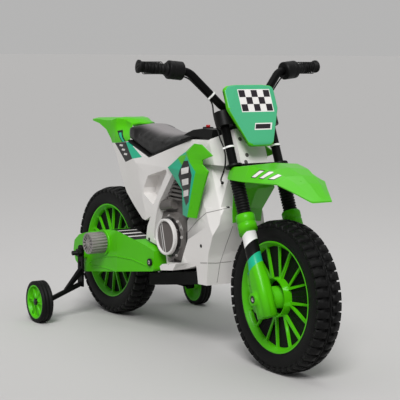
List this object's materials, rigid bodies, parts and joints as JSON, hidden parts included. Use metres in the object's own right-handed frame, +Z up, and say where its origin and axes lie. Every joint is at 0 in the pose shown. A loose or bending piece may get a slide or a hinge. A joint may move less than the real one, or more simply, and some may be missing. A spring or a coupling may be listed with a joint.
{
  "type": "kids electric motorbike",
  "caption": "Child's battery motocross-style ride-on with knobbly spoked wheels, steering fork, twist throttle, padded seat and training wheels.",
  "frame": {"origin": "on the floor, midway between the wheel axles, on the middle plane", "axes": "+X forwards, +Y to the rider's left, +Z up"},
  "size_m": [1.0644, 0.5012, 0.6702],
  "materials": {
    "lime_plastic": "gloss moulded",
    "teal_plastic": "gloss printed",
    "white_plastic": "satin moulded",
    "black_plastic": "fine grain",
    "wheel_black": "satin moulded",
    "tyre_black": "matte",
    "graphite_plastic": "metallic",
    "silver_plastic": "metallic",
    "frame_black": "powder coat",
    "steel": "zinc plated",
    "seat_vinyl": "fine grain",
    "grip_rubber": "matte",
    "cable_black": "satin",
    "tie_white": "satin",
    "button_red": "gloss"
  },
  "bodies": {
    "chassis": {"chassis_frame": "frame_black", "right_body_shell": "white_plastic", "left_body_shell": "white_plastic", "right_shroud": "lime_plastic", "left_shroud": "lime_plastic", "right_engine_cover": "graphite_plastic", "left_engine_cover": "graphite_plastic", "clutch_rings": "silver_plastic", "console": "black_plastic", "button_bezel": "black_plastic", "seat_cushion": "seat_vinyl", "seat_base": "black_plastic", "rear_fender": "lime_plastic", "right_swing_arm": "lime_plastic", "left_swing_arm": "lime_plastic", "swing_arm_bolts": "steel", "motor_cap": "silver_plastic", "drive_motor": "steel", "gearbox": "black_plastic", "battery": "black_plastic", "control_unit": "black_plastic", "rear_axle": "steel", "rear_axle_nuts": "steel", "right_stabiliser_bracket": "frame_black", "left_stabiliser_bracket": "frame_black", "stabiliser_bolts": "steel", "cable_ferrules": "black_plastic", "cable_loops": "cable_black", "charging_socket": "black_plastic", "head_bushes": "black_plastic"},
    "steering": {"right_fork_leg": "lime_plastic", "left_fork_leg": "lime_plastic", "fork_tubes": "frame_black", "right_fork_gaiter": "grip_rubber", "left_fork_gaiter": "grip_rubber", "lower_clamp": "frame_black", "upper_clamp": "black_plastic", "steering_stem": "steel", "front_fender": "lime_plastic", "number_plate": "teal_plastic", "handlebar": "frame_black", "bar_clamps": "black_plastic", "throttle_housing": "black_plastic", "switch_housing": "black_plastic", "left_grip": "grip_rubber", "handlebar_cables": "cable_black", "cable_ties": "tie_white", "front_axle": "steel", "front_axle_caps": "steel"},
    "front_wheel": {"front_wheel": "wheel_black", "front_rims": "lime_plastic"},
    "rear_wheel": {"rear_wheel": "wheel_black", "rear_rims": "lime_plastic"},
    "right_training_wheel": {"right_training_hub": "lime_plastic", "right_training_tyre": "tyre_black"},
    "left_training_wheel": {"left_training_hub": "lime_plastic", "left_training_tyre": "tyre_black"},
    "throttle": {"throttle_grip": "grip_rubber"},
    "power_button": {"power_button": "button_red"},
    "horn_button": {"horn_button": "button_red"}
  },
  "joints": [
    {"name": "steering", "type": "hinge", "parent": "chassis", "child": "steering", "pos_m": [0.2152, 0, 0.46607], "axis": [-0.4019, 0, 0.9157], "range_deg": [-30, 30], "deforming": ["cable_loops"]},
    {"name": "front_wheel_spin", "type": "hinge", "parent": "steering", "child": "front_wheel", "pos_m": [0.3665, 0, 0.166], "axis": [0, 1, 0], "continuous": true},
    {"name": "rear_wheel_spin", "type": "hinge", "parent": "chassis", "child": "rear_wheel", "pos_m": [-0.3665, 0, 0.166], "axis": [0, 1, 0], "continuous": true},
    {"name": "right_training_spin", "type": "hinge", "parent": "chassis", "child": "right_training_wheel", "pos_m": [-0.3495, -0.2366, 0.0528], "axis": [0, 1, 0], "continuous": true},
    {"name": "left_training_spin", "type": "hinge", "parent": "chassis", "child": "left_training_wheel", "pos_m": [-0.3495, 0.2366, 0.0528], "axis": [0, 1, 0], "continuous": true},
    {"name": "throttle_twist", "type": "hinge", "parent": "steering", "child": "throttle", "pos_m": [0.14723, -0.242, 0.65575], "axis": [-0.1315, -0.9868, 0.0949], "range_deg": [0, 40], "stiffness_Nm_per_rad": 0.4},
    {"name": "power_press", "type": "slide", "parent": "chassis", "child": "power_button", "axis": [0, 0, -1], "range_m": [0, 0.002], "stiffness_N_per_m": 600},
    {"name": "horn_press", "type": "slide", "parent": "steering", "child": "horn_button", "axis": [0.9157, 0, 0.4019], "range_m": [0, 0.002], "stiffness_N_per_m": 600}
  ]
}
